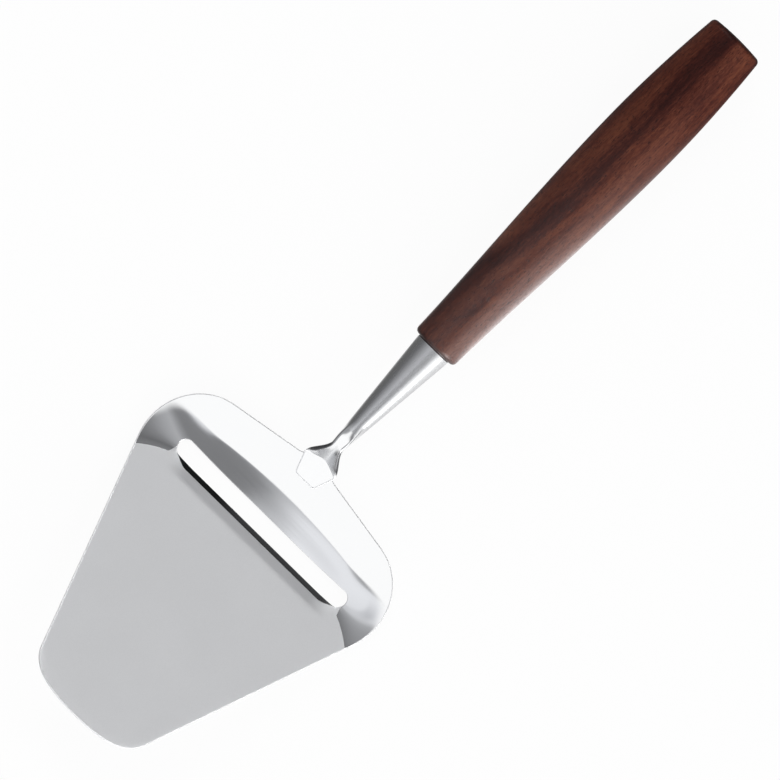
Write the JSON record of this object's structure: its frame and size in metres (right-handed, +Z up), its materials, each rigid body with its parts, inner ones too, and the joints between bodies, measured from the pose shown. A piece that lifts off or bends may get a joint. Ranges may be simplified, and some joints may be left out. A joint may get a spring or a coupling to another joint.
{
  "type": "cheese slicer",
  "caption": "Hand cheese slicer with a flared pressed-steel blade, a bevelled cutting slot behind its flat plate, a tapered forged stem and a turned wooden handle.",
  "frame": {"origin": "middle of the slicer's plan, on the table that it lies on", "axes": "+X along the slicer from the blade's tip to the handle's butt, +Y across the blade, +Z up; the slicer lies at rest on the blade's heel and the handle's belly, with the tip raised"},
  "size_m": [0.2398, 0.0788, 0.0234],
  "materials": {
    "blade_steel": "satin",
    "polished_steel": "polished",
    "weld_steel": "matte",
    "cured_glue": "satin",
    "handle_wood": "satin"
  },
  "bodies": {
    "root": {"blade": "blade_steel", "stem": "polished_steel", "spot_weld_front": "weld_steel", "spot_weld_rear": "weld_steel", "tang_glue": "cured_glue", "handle": "handle_wood"}
  },
  "joints": []
}
